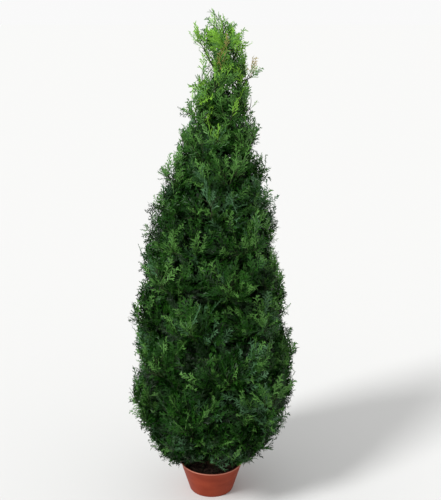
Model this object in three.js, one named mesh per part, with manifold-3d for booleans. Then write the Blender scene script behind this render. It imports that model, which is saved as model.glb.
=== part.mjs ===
// Artificial arborvitae in a pot: a narrow, dense, upswept conifer for display.
// A pole trunk stands in a filled plastic pot. Wire branches leave the trunk in tiers, and each
// one carries its own mass of foliage: a stem, a dense heart, twigs and flat toothed sprays.
// Millimetres, +Z up, origin at the middle of the pot's flat underside, -Y towards the viewer.
import * as THREE from "three";
import { mergeVertices } from "three/addons/utils/BufferGeometryUtils.js";
import Module from "manifold-3d";

// Overall sizes
const TREE_HEIGHT = 1524;
const CROWN_RADIUS = 262; // to the furthest tips, at the widest level
const WIDEST_LEVEL = 340;
const CROWN_FOOT_LEVEL = 103;
const CROWN_FOOT_RADIUS = 135;
const CROWN_FOOT_POWER = 2.4;
const CROWN_TAPER_POWER = 1.85;
const CROWN_SWAY = 12; // the crown stands out to +X and to -X by turns up its height
const CROWN_SWAY_LEVEL = 740; // where it is furthest to -X
const CROWN_SWAY_PITCH = 600;
const TUFT_LEVEL = 1270; // the broad tuft at the top
const TUFT_RADIUS = 92;
const TUFT_POWER = 4;
const NOTCH_LEVEL = 1362; // a gap under the tuft, on the -X side
const NOTCH_HEIGHT = 36;
const NOTCH_DEPTH = 50;

// Pot and its fill
const POT_HEIGHT = 100;
const POT_RIM_RADIUS = 102;
const POT_FOOT_RADIUS = 71;
const POT_WALL = 3;
const POT_FLOOR = 5;
const POT_LIP = 2;
const POT_SIDES = 32;
const FILL_LEVEL = 82;
const FILL_CROWN = 5; // how far the fill's surface falls from its middle to the wall

// Trunk
const TRUNK_FOOT_RADIUS = 12;
const TRUNK_TIP_RADIUS = 4;
const TRUNK_FLARE = 4;
const TRUNK_FLARE_HEIGHT = 30;
const TRUNK_TOP = 1385;
const TRUNK_SIDES = 9;
const TRUNK_STEPS = 24;
const BEND_START = 950; // the leader bows to +X above this level and comes back at the tip
const BEND = 34;
const BEND_SKEW = 1.8;

// Tiers of branches
const TIER_COUNT = 11;
const TIER_FIRST = 75;
const TIER_LAST = 1395; // where the leader's own foliage starts
const TIER_CLOSING = 0.92; // tiers stand closer together up the trunk
const STEM_SEAT = 0.35; // of a tier's height
const BRANCH_SPACING = 250; // along the crown's outside
const FEWEST_BRANCHES = 4;
const RISE_LOW = 0.75; // how steeply branches rise, at the ground and at the top
const RISE_HIGH = 1.85;

// One mass of foliage
const STEM_RADIUS = 3.6;
const TWIG_SINK = 2; // how far a twig's root goes past the stem's centre line
const SPRAYS_PER_MASS = 3;
const SPRAY_SPREAD = 1.1; // how far sprays turn from the stem's own direction
const TRIES = 20;
const SPRAY_SHARE = 0.32; // a spray's length beside the crown's radius there
const SPRAY_SHORTEST = 50;
const SPRAY_LONGEST = 80;
const SPRAY_THICK = 0.045; // of its length, at its middle
const SPRAY_MIDDLE = 0.4; // of its length
const HEART_RADIUS = 0.36; // of the stem's length, before it is drawn in
const HEART_SIDES = 6;
const HEART_STEPS = 4;
const HEART_SWELL = 1.7; // the higher, the nearer its widest part is to the tip
const HEART_INSET = 0.2; // room left for the sprigs, of the plume's radius
const SPRIG_SHORTEST = 10;
const SPRIG_LONGEST = 75;
const SPRIG_LEAN = 0.7; // how much sprigs lean along the stem
const SPRIG_FACET = 100; // the smallest facet that carries one

// Clearances
const SEAT_GAP = 0.3;
const MASS_GAP = 1.5; // each mass stays this far inside its own space

// Fineness of tests and joins
const TEST_STEP = 3; // between the points tested along an edge
const GRID = 0.01;
const SLIVER = 0.05; // slivers thinner than this are closed up

const wasm = await Module();
wasm.setup();

// Solids

// A closed geometry as a solid that can be joined and cut, with its corners on a fine grid
function solidOf(geometry) {
  const flat = (geometry.index ? geometry.toNonIndexed() : geometry).getAttribute("position");
  const gridded = Float32Array.from(flat.array, (value) => Math.round(value / GRID) * GRID);
  const bare = new THREE.BufferGeometry().setAttribute("position", new THREE.BufferAttribute(gridded, 3));
  const merged = mergeVertices(bare, 0.1 * GRID);
  const corners = [];
  for (let i = 0; i < merged.index.count; i += 3) {
    const [a, b, c] = [0, 1, 2].map((k) => merged.index.getX(i + k));
    if (a !== b && b !== c && c !== a) corners.push(a, b, c);
  }
  return new wasm.Manifold(
    new wasm.Mesh({
      numProp: 3,
      vertProperties: Float32Array.from(merged.getAttribute("position").array),
      triVerts: Uint32Array.from(corners),
    }),
  );
}

// A solid's surface as a geometry
function geometryOf(solid) {
  const mesh = solid.getMesh();
  const geometry = new THREE.BufferGeometry();
  geometry.setAttribute("position", new THREE.BufferAttribute(mesh.vertProperties, 3));
  geometry.setIndex(new THREE.BufferAttribute(mesh.triVerts, 1));
  geometry.computeVertexNormals();
  return geometry;
}

// A solid's largest body
const largest = (solid) => solid.decompose().reduce((a, b) => (b.volume() > a.volume() ? b : a));

// Several closed geometries joined into one body, without loose scraps
function fused(geometries) {
  const joined = geometries.map(solidOf).reduce((whole, piece) => whole.add(piece));
  return largest(solidOf(geometryOf(largest(joined).simplify(SLIVER))));
}

// Whether any edge of a surface is shared by more than two of its faces
function pinched(geometry) {
  const place = geometry.getAttribute("position");
  const corner = (i) => [place.getX(i), place.getY(i), place.getZ(i)].map((value) => value.toFixed(3)).join();
  const uses = new Map();
  for (let i = 0; i < geometry.index.count; i++) {
    const next = i % 3 === 2 ? i - 2 : i + 1;
    const edge = [i, next].map((k) => corner(geometry.index.getX(k))).sort().join(" ");
    uses.set(edge, (uses.get(edge) ?? 0) + 1);
  }
  return [...uses.values()].some((count) => count !== 2);
}

function named(name, geometry, material) {
  const mesh = new THREE.Mesh(geometry, material);
  mesh.name = name;
  return mesh;
}

// A solid turned about Z from [radius, height] pairs
function turned(profile, sides) {
  const points = profile.map(([radius, height]) => new THREE.Vector2(radius, height));
  return new THREE.LatheGeometry(points, sides).rotateX(Math.PI / 2);
}

// A tapering limb along a curve, closed at both ends; each corner can be drawn in to its centre line
function limb(curve, radiusAt, sides, steps, drawIn = () => {}) {
  const geometry = new THREE.CylinderGeometry(1, 1, 1, sides, steps);
  const frames = curve.computeFrenetFrames(steps, false);
  const place = geometry.getAttribute("position");
  const corner = new THREE.Vector3();
  for (let i = 0; i < place.count; i++) {
    corner.fromBufferAttribute(place, i);
    const step = Math.round((0.5 - corner.y) * steps);
    const side = Math.round((Math.atan2(corner.x, corner.z) / (2 * Math.PI) + 1) * sides) % sides;
    const centre = curve.getPoint(step / steps);
    const radius = radiusAt(step, side);
    const point = centre.clone().addScaledVector(frames.normals[step], corner.x * radius);
    point.addScaledVector(frames.binormals[step], corner.z * radius);
    drawIn(point, centre);
    place.setXYZ(i, point.x, point.y, point.z);
  }
  return geometry;
}

// A matrix that takes +Y to along and +Z as near to facing as it can be, at a place
function aimed(place, along, facing) {
  const y = along.clone().normalize();
  const x = new THREE.Vector3().crossVectors(y, facing).normalize();
  const z = new THREE.Vector3().crossVectors(x, y);
  return new THREE.Matrix4().makeBasis(x, y, z).setPosition(place);
}

// The same numbers from 0 to 1 each time, for one seed
function seededRandom(seed) {
  let state = seed >>> 0;
  return () => {
    state = (state + 0x6d2b79f5) >>> 0;
    let mixed = Math.imul(state ^ (state >>> 15), state | 1);
    mixed ^= mixed + Math.imul(mixed ^ (mixed >>> 7), mixed | 61);
    return ((mixed ^ (mixed >>> 14)) >>> 0) / 4294967296;
  };
}

const between = (random, low, high) => low + (high - low) * random();

// A direction of length 1, any way round
function anyWay(random) {
  const up = between(random, -1, 1);
  const turn = between(random, 0, 2 * Math.PI);
  const level = Math.sqrt(1 - up * up);
  return new THREE.Vector3(level * Math.cos(turn), level * Math.sin(turn), up);
}

// The plant's form

// How far the trunk's centre line stands off to +X at a level
function lean(level) {
  const share = THREE.MathUtils.clamp((level - BEND_START) / (TREE_HEIGHT - BEND_START), 0, 1);
  return BEND * Math.sin(Math.PI * share ** BEND_SKEW);
}

// How fast the centre line moves to +X with height
const leanSlope = (level) => (lean(level + 1) - lean(level - 1)) / 2;

function trunkRadius(level) {
  const share = THREE.MathUtils.clamp((level - FILL_LEVEL) / (TRUNK_TOP - FILL_LEVEL), 0, 1);
  const flare = TRUNK_FLARE * Math.max(0, 1 - (level - FILL_LEVEL) / TRUNK_FLARE_HEIGHT) ** 2;
  return THREE.MathUtils.lerp(TRUNK_FOOT_RADIUS, TRUNK_TIP_RADIUS, share) + flare;
}

// The furthest that foliage reaches from the trunk's centre at a level, towards an azimuth
function crownRadius(level, azimuth) {
  if (level < WIDEST_LEVEL) {
    const share = Math.min(1, (WIDEST_LEVEL - level) / (WIDEST_LEVEL - CROWN_FOOT_LEVEL));
    return CROWN_RADIUS - (CROWN_RADIUS - CROWN_FOOT_RADIUS) * share ** CROWN_FOOT_POWER;
  }
  const share = Math.min(1, (level - WIDEST_LEVEL) / (TREE_HEIGHT - WIDEST_LEVEL));
  const cone = CROWN_RADIUS * (1 - share ** CROWN_TAPER_POWER);
  if (level < TUFT_LEVEL) {
    const sway = Math.cos((2 * Math.PI * (level - CROWN_SWAY_LEVEL)) / CROWN_SWAY_PITCH);
    return cone - CROWN_SWAY * sway * (1 - share) * Math.cos(azimuth);
  }
  const above = Math.min(1, (level - TUFT_LEVEL) / (TREE_HEIGHT - TUFT_LEVEL));
  const notch = Math.exp(-(((level - NOTCH_LEVEL) / NOTCH_HEIGHT) ** 2)) * Math.max(0, -Math.cos(azimuth));
  return Math.max(cone, TUFT_RADIUS * (1 - above ** TUFT_POWER)) - NOTCH_DEPTH * notch;
}

const tierLevel = (tier) =>
  TIER_FIRST + (TIER_LAST - TIER_FIRST) * (tier / TIER_COUNT) ** TIER_CLOSING;
const riseAt = (level) => RISE_LOW + (RISE_HIGH - RISE_LOW) * (level / TREE_HEIGHT);

// The cone that parts a tier from the one below it
function tierFloor(tier, radius) {
  if (tier === 0) return CROWN_FOOT_LEVEL;
  const level = tierLevel(tier);
  return level + riseAt(level) * radius;
}

// Where a branch that starts at a level and keeps its rise meets the crown's outside
function crownReach(level, azimuth) {
  const rise = riseAt(level);
  let radius = 0;
  for (let i = 0; i < 24; i++) radius = crownRadius(level + rise * radius, azimuth);
  return radius;
}

function branchCount(tier) {
  const around = 2 * Math.PI * crownReach(tierLevel(tier), Math.PI / 2);
  return Math.max(FEWEST_BRANCHES, Math.round(around / BRANCH_SPACING));
}

// The space that a mass keeps to: a tier, and a sector of it where the tier has several branches
function spaceTest(tier, azimuth, count) {
  return (point) => {
    const x = point.x - lean(point.z);
    const radius = Math.hypot(x, point.y);
    const heading = Math.atan2(point.y, x);
    if (radius < trunkRadius(point.z) + MASS_GAP && point.z < TRUNK_TOP + MASS_GAP) return false;
    if (radius > crownRadius(point.z, heading) || point.z > TREE_HEIGHT) return false;
    if (point.z < tierFloor(tier, radius) + MASS_GAP) return false;
    if (count === 1) return true;
    if (point.z > tierFloor(tier + 1, radius) - MASS_GAP) return false;
    const turn = Math.abs(Math.atan2(Math.sin(heading - azimuth), Math.cos(heading - azimuth)));
    const spare = Math.PI / count - turn;
    return spare > 0 && radius * Math.sin(Math.min(spare, Math.PI / 2)) > MASS_GAP;
  };
}

// Whether points all along a geometry's edges pass a test
function allWithin(geometry, test) {
  const place = geometry.getAttribute("position");
  const [start, end, point] = [0, 1, 2].map(() => new THREE.Vector3());
  for (let i = 0; i < geometry.index.count; i++) {
    const next = i % 3 === 2 ? i - 2 : i + 1;
    start.fromBufferAttribute(place, geometry.index.getX(i));
    end.fromBufferAttribute(place, geometry.index.getX(next));
    const steps = Math.ceil(start.distanceTo(end) / TEST_STEP);
    for (let k = 0; k < steps; k++) {
      if (!test(point.lerpVectors(start, end, k / steps))) return false;
    }
  }
  return true;
}

// Foliage

function sprayLength(level) {
  const share = SPRAY_SHARE * crownRadius(level, Math.PI / 2);
  return THREE.MathUtils.clamp(share, SPRAY_SHORTEST, SPRAY_LONGEST);
}

// A flat forked spray on its own twig: the twig's sharp root, a lobe to each side that leans forward,
// and a pointed end; it is thickest along its middle
function spray(length, twig) {
  const outline = [[0, -twig / length], [0.3, 0.7], [0.09, 0.5], [0, 1], [-0.09, 0.5], [-0.3, 0.7]];
  const ridge = 0.5 * SPRAY_THICK;
  const profile = [[0, -ridge], [1, 0], [0, ridge]].map(([x, y]) => new THREE.Vector2(x, y));
  const blade = new THREE.LatheGeometry(profile, outline.length).rotateX(Math.PI / 2);
  const place = blade.getAttribute("position");
  for (let i = 0; i < place.count; i++) {
    const ring = Math.floor(i / profile.length) % outline.length;
    const [x, y] = i % profile.length === 1 ? outline[ring] : [0, SPRAY_MIDDLE];
    place.setXY(i, x, y);
  }
  return blade.scale(length, length, length);
}

// How far one can go from a place in a direction and stay in a space
function wayOut(place, along, space) {
  const point = place.clone();
  let way = 0;
  while (space(point)) {
    way += TEST_STEP;
    point.addScaledVector(along, TEST_STEP);
  }
  return way - TEST_STEP;
}

// A twig with a spray that reaches the outside of its space, or nothing where no try of it fits
function sprayedTwig(random, stem, space, share) {
  for (let attempt = 0; attempt < TRIES; attempt++) {
    const along = between(random, 0.35, 1);
    const root = stem.getPointAt(along);
    const outward = stem.getTangentAt(along);
    const heading = outward.clone().add(anyWay(random).multiplyScalar(SPRAY_SPREAD * (1 - share)));
    heading.normalize();
    const size = sprayLength(root.z) * between(random, 0.85, 1.15) * (1 - 0.02 * attempt);
    const reach = wayOut(root, heading, space) - size;
    if (reach < 0) continue;
    const end = root.clone().addScaledVector(heading, reach);
    const blade = spray(size, reach + TWIG_SINK).applyMatrix4(aimed(end, heading, anyWay(random)));
    if (allWithin(blade, space)) return [blade];
  }
  return [];
}

// The dense heart of a mass: a plume along its stem, drawn in where it would leave its space, with a
// pointed sprig that leans along the stem on every facet
function heart(random, stem, space) {
  const spine = new THREE.CatmullRomCurve3([0.14, 0.4, 0.7, 1].map((along) => stem.getPoint(along)));
  const girth = HEART_RADIUS * stem.getLength();
  const rough = Array.from({ length: HEART_SIDES * (HEART_STEPS + 1) }, () => between(random, 0.85, 1));
  const radiusAt = (step, side) => {
    const swell = Math.sin(Math.PI * (0.04 + 0.945 * (step / HEART_STEPS) ** HEART_SWELL)) ** 0.7;
    return girth * swell * rough[step * HEART_SIDES + side];
  };
  const drawIn = (point, centre) => {
    for (let i = 0; i < TRIES && !space(point); i++) point.lerp(centre, 0.1);
    point.lerp(centre, HEART_INSET);
  };
  const plume = limb(spine, radiusAt, HEART_SIDES, HEART_STEPS, drawIn);
  return [plume, ...sprigs(random, plume, spine.getTangent(0.5), space)];
}

// A pointed sprig on each facet of a closed geometry, as long as its space allows
function sprigs(random, geometry, forward, space) {
  const flat = geometry.toNonIndexed().getAttribute("position");
  const made = [];
  for (let i = 0; i < flat.count; i += 3) {
    const [a, b, c] = [0, 1, 2].map((k) => new THREE.Vector3().fromBufferAttribute(flat, i + k));
    const facet = new THREE.Triangle(a, b, c);
    const tip = facet.getMidpoint(new THREE.Vector3());
    const heading = facet.getNormal(new THREE.Vector3()).addScaledVector(forward, SPRIG_LEAN).normalize();
    const length = Math.min(SPRIG_LONGEST * between(random, 0.6, 1), wayOut(tip, heading, space));
    if (facet.getArea() < SPRIG_FACET || length < SPRIG_SHORTEST) continue;
    tip.addScaledVector(heading, length);
    made.push(new THREE.BufferGeometry().setFromPoints([a, b, tip, b, c, tip, c, a, tip, a, c, b]));
  }
  return made;
}

// A whole mass: its stem and heart, and twigs with sprays that stand out of it; a spray that would
// leave its surface pinched is left off
function foliageMass(random, stem, space) {
  const thick = stem.userData.thick;
  const pieces = [limb(stem, (step) => thick * (1 - 0.3 * step), 3, 2), ...heart(random, stem, space)];
  for (let i = 0; i < SPRAYS_PER_MASS; i++) {
    pieces.push(...sprayedTwig(random, stem, space, i / (SPRAYS_PER_MASS - 1)));
  }
  let mass = geometryOf(fused(pieces));
  while (pinched(mass)) {
    pieces.pop();
    mass = geometryOf(fused(pieces));
  }
  return mass;
}

// A branch's stem: level where it leaves the trunk, then swept up inside its mass
function branchStem(random, tier, azimuth) {
  const level = tierLevel(tier + STEM_SEAT);
  const outward = new THREE.Vector3(Math.cos(azimuth), Math.sin(azimuth), 0);
  const centre = new THREE.Vector3(lean(level), 0, level);
  const rise = riseAt(level);
  const run = crownReach(level, azimuth) * between(random, 0.84, 0.92);
  const thick = Math.min(STEM_RADIUS, 0.45 * trunkRadius(level));
  const seat = trunkRadius(level) + SEAT_GAP + thick * Math.abs(leanSlope(level));
  const base = centre.clone().addScaledVector(outward, seat);
  const elbow = base.clone().addScaledVector(outward, 0.12 * run);
  const tip = centre.clone().addScaledVector(outward, run);
  tip.z += rise * run;
  tip.x += lean(tip.z) - lean(level);
  const stem = new THREE.QuadraticBezierCurve3(base, elbow, tip);
  stem.userData = { thick };
  return stem;
}

// The leader's stem: it carries the trunk's line on to just short of the tree's top
function leaderStem() {
  const upward = new THREE.Vector3(leanSlope(TRUNK_TOP), 0, 1).normalize();
  const base = new THREE.Vector3(lean(TRUNK_TOP), 0, TRUNK_TOP).addScaledVector(upward, SEAT_GAP);
  const elbow = base.clone().addScaledVector(upward, 0.35 * (TREE_HEIGHT - TRUNK_TOP));
  const tip = new THREE.Vector3(lean(TREE_HEIGHT), 0, TREE_HEIGHT).lerp(elbow, 0.5);
  const stem = new THREE.QuadraticBezierCurve3(base, elbow, tip);
  stem.userData = { thick: 0.7 * TRUNK_TIP_RADIUS };
  return stem;
}

// Pot, fill and trunk

function pot() {
  const inner = POT_WALL / Math.cos(Math.atan2(POT_RIM_RADIUS - POT_FOOT_RADIUS, POT_HEIGHT));
  const profile = [
    [0, 0],
    [POT_FOOT_RADIUS, 0],
    [POT_RIM_RADIUS - POT_LIP, POT_HEIGHT - 3 * POT_LIP],
    [POT_RIM_RADIUS, POT_HEIGHT - 2 * POT_LIP],
    [POT_RIM_RADIUS, POT_HEIGHT - 0.5 * POT_LIP],
    [POT_RIM_RADIUS - 0.5 * POT_LIP, POT_HEIGHT],
    [POT_RIM_RADIUS - POT_LIP - inner, POT_HEIGHT],
    [POT_FOOT_RADIUS - inner, POT_FLOOR],
    [0, POT_FLOOR],
  ];
  return turned(profile, POT_SIDES);
}

// The radius of the pot's inside at a level
function potInside(level) {
  const inner = POT_WALL / Math.cos(Math.atan2(POT_RIM_RADIUS - POT_FOOT_RADIUS, POT_HEIGHT));
  const low = POT_FOOT_RADIUS - inner;
  const high = POT_RIM_RADIUS - POT_LIP - inner;
  return low + ((high - low) * (level - POT_FLOOR)) / (POT_HEIGHT - POT_FLOOR);
}

function fill() {
  const foot = POT_FLOOR + SEAT_GAP;
  const edge = FILL_LEVEL - FILL_CROWN;
  const profile = [
    [0, foot],
    [potInside(foot) - SEAT_GAP, foot],
    [potInside(edge) - SEAT_GAP, edge],
    [0.6 * potInside(edge), FILL_LEVEL - 0.35 * FILL_CROWN],
    [2 * TRUNK_FOOT_RADIUS, FILL_LEVEL],
    [0, FILL_LEVEL],
  ];
  return turned(profile, POT_SIDES);
}

// The trunk, with its rings closer together at the flare and at the bend below its tip
function trunk() {
  const foot = FILL_LEVEL + SEAT_GAP;
  const levelAt = (share) => foot + (TRUNK_TOP - foot) * share * share * (3 - 2 * share);
  const line = new THREE.Curve();
  line.getPoint = (share) => new THREE.Vector3(lean(levelAt(share)), 0, levelAt(share));
  return limb(line, (step) => trunkRadius(levelAt(step / TRUNK_STEPS)), TRUNK_SIDES, TRUNK_STEPS);
}

// Assembly

const plastic = (color, roughness) => new THREE.MeshStandardMaterial({ color, roughness, metalness: 0 });
const potFinish = plastic("#a3543b", 0.55);
const fillFinish = plastic("#2c2220", 0.95);
const trunkFinish = plastic("#5a4634", 0.9);
const foliageFinishes = ["#274d1f", "#2f5a24", "#39682b"].map((color) => plastic(color, 0.6));

const tree = new THREE.Group();
tree.name = "potted_arborvitae";
tree.add(named("pot", pot(), potFinish));
tree.add(named("potting_fill", fill(), fillFinish));
tree.add(named("trunk", trunk(), trunkFinish));

for (let tier = 0; tier < TIER_COUNT; tier++) {
  const count = branchCount(tier);
  const finish = foliageFinishes[Math.floor((tier * foliageFinishes.length) / TIER_COUNT)];
  for (let i = 0; i < count; i++) {
    const random = seededRandom(100 * (tier + 1) + i);
    const azimuth = (2 * Math.PI * (i + 0.25 + 0.5 * (tier % 2))) / count;
    const stem = branchStem(random, tier, azimuth);
    const space = spaceTest(tier, azimuth, count);
    const mass = foliageMass(random, stem, space);
    tree.add(named(`branch_tier${tier + 1}_${i + 1}`, mass, finish));
  }
}

const leaderSpace = spaceTest(TIER_COUNT, 0, 1);
const leader = foliageMass(seededRandom(7), leaderStem(), leaderSpace);
tree.add(named("leader", leader, foliageFinishes.at(-1)));

export default tree;
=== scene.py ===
# Looks of an artificial arborvitae in a small terracotta-coloured pot.
# The branches, their seats and their reach follow the same rule as the solids. Here each branch grows on
# into twigs in puffs, and each twig into flat forked sprigs of many small prongs.
# Metres, +Z up, origin at the middle of the pot's flat underside, -Y towards the viewer.
import math

import bpy
import numpy as np
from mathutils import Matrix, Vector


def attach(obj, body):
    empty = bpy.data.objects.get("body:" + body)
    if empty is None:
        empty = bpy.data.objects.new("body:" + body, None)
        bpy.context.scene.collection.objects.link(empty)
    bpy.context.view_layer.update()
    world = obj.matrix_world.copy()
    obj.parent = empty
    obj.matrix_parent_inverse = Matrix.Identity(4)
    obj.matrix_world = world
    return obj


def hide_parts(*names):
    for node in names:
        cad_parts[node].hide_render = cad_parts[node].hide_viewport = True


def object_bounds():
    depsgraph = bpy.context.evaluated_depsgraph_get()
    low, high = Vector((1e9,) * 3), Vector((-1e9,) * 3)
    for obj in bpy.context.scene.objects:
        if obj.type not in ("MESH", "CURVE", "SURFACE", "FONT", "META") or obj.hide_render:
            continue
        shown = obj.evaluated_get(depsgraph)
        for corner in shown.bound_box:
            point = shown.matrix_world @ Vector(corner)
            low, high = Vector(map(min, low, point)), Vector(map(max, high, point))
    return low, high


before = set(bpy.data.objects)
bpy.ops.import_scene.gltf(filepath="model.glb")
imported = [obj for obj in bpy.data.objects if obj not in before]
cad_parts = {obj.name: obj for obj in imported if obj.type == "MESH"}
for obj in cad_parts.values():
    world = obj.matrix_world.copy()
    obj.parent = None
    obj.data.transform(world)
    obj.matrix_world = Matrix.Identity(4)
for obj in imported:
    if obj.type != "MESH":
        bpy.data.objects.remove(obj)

CAD_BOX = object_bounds()
CAD_LOW, CAD_HIGH = np.array(CAD_BOX)

FULL_TURN = 2 * math.pi
GOLDEN_TURN = math.pi * (3 - math.sqrt(5))
STEEP_HEADING = 0.9  # the upward share from which a heading counts as steep

# Overall sizes
TREE_HEIGHT = 1.524
CROWN_RADIUS = 0.262
WIDEST_LEVEL = 0.340
CROWN_FOOT_LEVEL = 0.103
CROWN_FOOT_RADIUS = 0.135
CROWN_FOOT_POWER = 2.4
FRONT_LIFT = 0.105  # how much higher the crown's foot is in front, over the pot
CROWN_TAPER_POWER = 1.85
CROWN_SWAY = 0.012
CROWN_SWAY_LEVEL = 0.740
CROWN_SWAY_PITCH = 0.600
TUFT_LEVEL = 1.270
TUFT_RADIUS = 0.092
TUFT_POWER = 4
NOTCH_LEVEL = 1.362
NOTCH_HEIGHT = 0.036
NOTCH_DEPTH = 0.050

# Pot
POT_HEIGHT = 0.100
POT_RIM_RADIUS = 0.102
POT_FOOT_RADIUS = 0.071
POT_WALL = 0.003
POT_LIP = 0.002
POT_SIDES = 128
POT_WALL_STEPS = 12
POT_WALL_TOP = POT_HEIGHT - 3 * POT_LIP
RIM_STEPS = 8
RIM_FIRST_ANGLE = 0.5  # where the wall runs into the rounded rim
HIGHLIGHT_FROM = 2  # the step of the rim from which it is pale, a painted highlight
RIM_THICKNESS = 0.0055
RIM_INNER_DROP = 0.0012
LINING_FOOT = 0.012  # how much wider than the foot the inside is where the fill hides it
LINING_LEVEL = 0.05
FOOT_HOLLOW = 0.0015  # height of the shallow hollow inside the ring the pot stands on
FOOT_HOLLOW_EDGE = 0.008
FOOT_RING = 0.006
FOOT_ROUND = 0.0008
FOOT_ROUND_SIDE = 0.0001
HOLLOW_MIDDLE = 0.002
WALL_FIRST_LEVEL = 0.002
SHARP_ANGLE = math.radians(40)
RIM_CLEAR = 0.008
RIM_HANG = 0.014  # how far foliage hangs below the crown's foot, off the rim

# Fill of the pot
FILL_LEVEL = 0.082
FILL_CROWN = 0.005
FILL_INSET = 0.0065  # from the inside of the wall at the rim
FILL_RADIUS = POT_RIM_RADIUS - POT_LIP - POT_WALL - FILL_INSET
FILL_RINGS = 40
FILL_SIDES = 96
FILL_WAVES = 24
FILL_WAVE_PULL = (60, 420)  # radians per metre
FILL_WAVE_STEEPNESS = 0.16
FILL_SEED = 9
CRUMB_COUNT = 700
CRUMB_SPREAD = 0.97  # of the fill's radius
CRUMB_SIZE = (0.0012, 0.0038)
CRUMB_SHAPE = (0.5, 1)
CRUMB_LIFT = 0.3
CRUMB_FACES = np.array([
    [0, 1, 2], [1, 3, 2], [3, 4, 2], [4, 0, 2],
    [1, 0, 5], [3, 1, 5], [4, 3, 5], [0, 4, 5],
])

# Trunk
TRUNK_FOOT_RADIUS = 0.012
TRUNK_TIP_RADIUS = 0.004
TRUNK_FLARE = 0.004
TRUNK_FLARE_HEIGHT = 0.030
TRUNK_TOP = 1.385
TRUNK_SIDES = 36
TRUNK_RINGS = 220
TRUNK_CLEAR = 0.002  # kept free of foliage
BEND_START = 0.950
BEND = 0.034
BEND_SKEW = 1.8
SLOPE_STEP = 0.001
BARK_SEED = 4
BARK_WAVES = 14
BARK_RIDGES = (3, 12)  # round the trunk, in one wave
BARK_CLIMB = (-30, 30)  # radians per metre
BARK_DRIFT = 0.8
BARK_DRIFT_PULL = (15, 45)
BARK_DEPTH = 0.12  # of the trunk's radius
PHASE_SPREAD = 6  # radians, nearly a full turn

# Tiers of branches
TIER_COUNT = 11
TIER_FIRST = 0.075
TIER_LAST = 1.395
TIER_CLOSING = 0.92
TIER_START = 0.25  # where a tier's first branch stands, of the way from one branch to the next
TIER_STAGGER = 0.5
SEEDS_PER_TIER = 100
BRANCH_SPACING = 0.250
FEWEST_BRANCHES = 4
REACH_ROUNDS = 24
RISE_LOW = 0.75
RISE_HIGH = 1.85
SEAT_GAP = 0.0003
STEM_SEAT = 0.35
STEM_RADIUS = 0.0036
STEM_THICKEST = 0.45  # of the trunk's radius
STEM_TIP = 0.35  # of the radius at its root
STEM_LEVEL_RUN = 0.12  # of its reach
STEM_REACH = 0.84  # of the way to the crown's outside, at the least
STEM_REACH_SPREAD = 0.08
STEM_SIDES = 6
STEM_STEPS = 10
LEADER_ELBOW = 0.35
LEADER_RADIUS = 0.7 * TRUNK_TIP_RADIUS

# Puffs: clumps of foliage side by side over the crown's outside, each on a twig of its own
PUFF_PATCH = 0.0035  # the crown's outside that one puff covers, in square metres
PUFF_FEWEST = 3
PUFF_ANGLE = 0.6  # between a puff's twig and its branch, in radians
PUFF_REACH = 0.25
PUFF_RADIUS = 0.045
PUFF_CREASE = 0.024  # how far the foliage falls back between two puffs
PUFF_STAND = (-0.036, 0.002)  # least and most that a puff stands out past the crown's outside
LEAD_STAND = (0.010, 0.026)  # the same for the puff at a branch's end
EDGE_ROOM = 0.014  # how far puffs and sprigs may stand out where the crown is widest
UNDER_PUFFS = 3  # under each of the lowest branches
UNDER_REACH = (0.5, 0.95)  # of the radius of the crown's foot
OUTSIDE_TRIES = 4000
SPREAD_ROUNDS = 12

# Twigs
TWIG_FIRST = 0.10  # along the branch
TWIG_PLACES = 40
TWIG_RADIUS = 0.0012
TWIG_TIP = 0.6  # of the radius at its root
TWIG_SIDES = 3
TWIG_STEPS = 3
TWIG_SHORTEST = 0.02
TWIG_ELBOW = 0.22
TWIG_SPARE = 0.55  # of a sprig, left between a twig's end and the crown's outside
SIDE_TWIGS = 6  # that leave each puff's twig
TOP_SIDE_TWIGS = 3
SIDE_FIRST = 0.3  # along the puff's twig
SIDE_STRETCH = 0.68
SIDE_JITTER = 0.05
SIDE_ANGLE = (0.5, 1)
SIDE_CLOSING = 0.7  # how much closer to the puff's twig the last tries are
SIDE_ROLL = 0.5
SIDE_REACH = 0.085
SIDE_REACH_SHARE = (0.8, 1)
SIDE_SHORTEST = 0.012
SIDE_ROOM = 0.6  # of a sprig, needed for a side twig
SIDE_ELBOW = 0.45
SIDE_ONWARD = 0.6  # how much of a side twig's start still follows the puff's twig
TEST_STEP = 0.003
TEST_REACH = 0.45
TRIES = 12
CELL_SLACK = 0.034  # how far sprigs reach in among those of the next branch
TWIG_SLACK = 0.5 * CELL_SLACK

# Sprigs along a twig
GROWTH_SEED = 20
SPRIG_LENGTH = 0.052
SPRIG_SPACING = 0.0068
INNER_SPACING = 0.006  # along a branch
SPRIG_FEWEST = 3
SPRIG_FIRST = 0.1
SPRIG_JITTER = (0.2, 0.8)
SPRIG_ANGLE = (0.5, 1.1)
END_ANGLE = 0.1  # of the sprig that goes on ahead
SPRIG_ROLL = 0.4
SPRIG_LIFT = 0.25  # how much sprigs turn up
SPRIG_SIZE = (0.85, 1.15)
SPRIG_TRIES = 3
END_TRIES = 5
SPRIG_SHRINK = 0.85  # from one try to the next
EDGE_SLACK = 0.003  # how far any sprig may stand out of its puff
EDGE_POKE = 0.032  # how far the sprig at a twig's end may stand out past the others
POKE_RARITY = 5  # the larger, the fewer of them do
BOX_SPARE = 0.006  # how far sprigs may reach past the solids' box
TOP_LEVEL = 1.300  # where sprigs begin to stand further apart
TOP_THINNING = 0.9
TOP_POKE = 0.024  # how far sprigs at the very top may stand out past the others

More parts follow.
